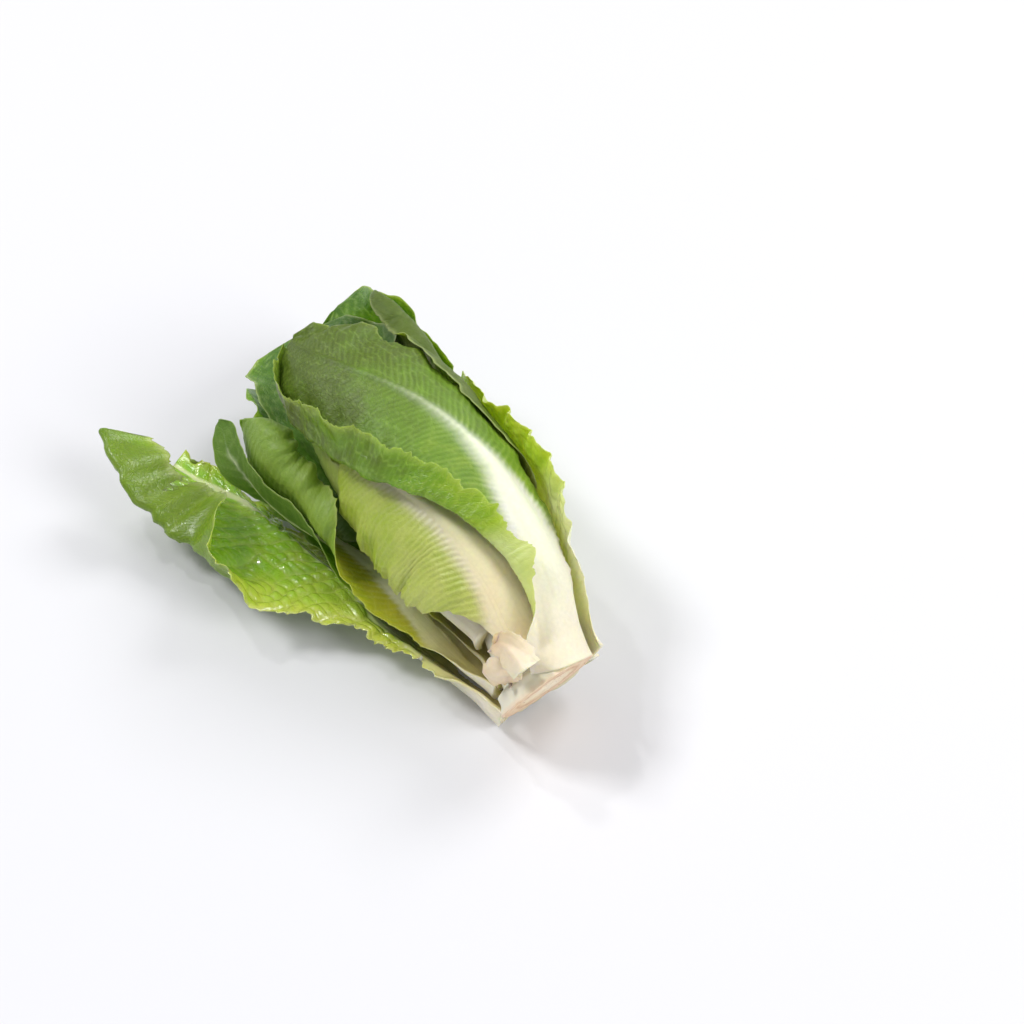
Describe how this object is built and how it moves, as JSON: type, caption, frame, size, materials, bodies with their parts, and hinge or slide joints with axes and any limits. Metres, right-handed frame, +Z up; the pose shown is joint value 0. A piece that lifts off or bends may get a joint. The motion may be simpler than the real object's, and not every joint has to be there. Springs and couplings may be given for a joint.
{
  "type": "romaine heart",
  "caption": "Trimmed romaine lettuce heart lying on its side: long ribbed, wavy-edged leaves wrapped tightly round a short stem, cut flat at the butt, with an outer leaf spreading away.",
  "frame": {"origin": "centre of the bottom of the bounding box, on the surface that the heart lies on", "axes": "+Z up; +X towards the cut butt, so the leaf tips point to -X; -Y is the side that the spread leaf leans out to"},
  "size_m": [0.2642, 0.1698, 0.1087],
  "materials": {
    "torn_stalk_upper": "torn stub of a leaf stalk: white, moist, tan at the torn edge",
    "torn_stalk_lower": "torn stub of a leaf stalk: cream to white, tan at the torn edge",
    "spread_leaf": "glossy bright-green blade with a pale midrib and toothed edge, matte light-green back",
    "under_leaf": "matte mid-green blade with a white midrib, darker at the tip",
    "right_leaf": "bright-green, deeply blistered blade with a white midrib and waved edge",
    "back_leaf": "matte mid-green blade with a white midrib, darker at the tip",
    "pointed_leaf": "matte green blade with a pale midrib and a pointed tip",
    "rolled_leaf": "olive-green blade with a light rolled edge",
    "bottom_leaf": "dark-green blade with a pale midrib",
    "hooding_leaf": "pale to mid-green blade with ladder veins, a broad white midrib and a yellow-green folded edge",
    "hooded_leaf": "matte green back with short pale veins, yellow-olive inner face and a ragged edge",
    "front_leaf": "pale yellow-green glossy blade with ladder veins, cream to tan midrib and a ragged edge",
    "inner_leaf_right": "pale yellow-green inner leaf with a white midrib, satin",
    "inner_leaf_under": "pale yellow-green inner leaf with a white midrib, satin",
    "inner_leaf_top": "pale yellow-green inner leaf with a white midrib, satin",
    "inner_leaf_left": "pale yellow-green inner leaf with a white midrib, satin",
    "heart_leaf_under": "pale yellow-green inner leaf with a white midrib, satin",
    "heart_leaf_top": "pale yellow-green inner leaf with a white midrib, satin",
    "core_stem": "cut lettuce stem: cream, tan to pinkish on the dried cut face, satin and slightly wet"
  },
  "bodies": {
    "root": {"torn_stalk_upper": "torn_stalk_upper", "torn_stalk_lower": "torn_stalk_lower", "spread_leaf": "spread_leaf", "under_leaf": "under_leaf", "right_leaf": "right_leaf", "back_leaf": "back_leaf", "pointed_leaf": "pointed_leaf", "rolled_leaf": "rolled_leaf", "bottom_leaf": "bottom_leaf", "hooding_leaf": "hooding_leaf", "hooded_leaf": "hooded_leaf", "front_leaf": "front_leaf", "inner_leaf_right": "inner_leaf_right", "inner_leaf_under": "inner_leaf_under", "inner_leaf_top": "inner_leaf_top", "inner_leaf_left": "inner_leaf_left", "heart_leaf_under": "heart_leaf_under", "heart_leaf_top": "heart_leaf_top", "core_stem": "core_stem"}
  },
  "joints": []
}
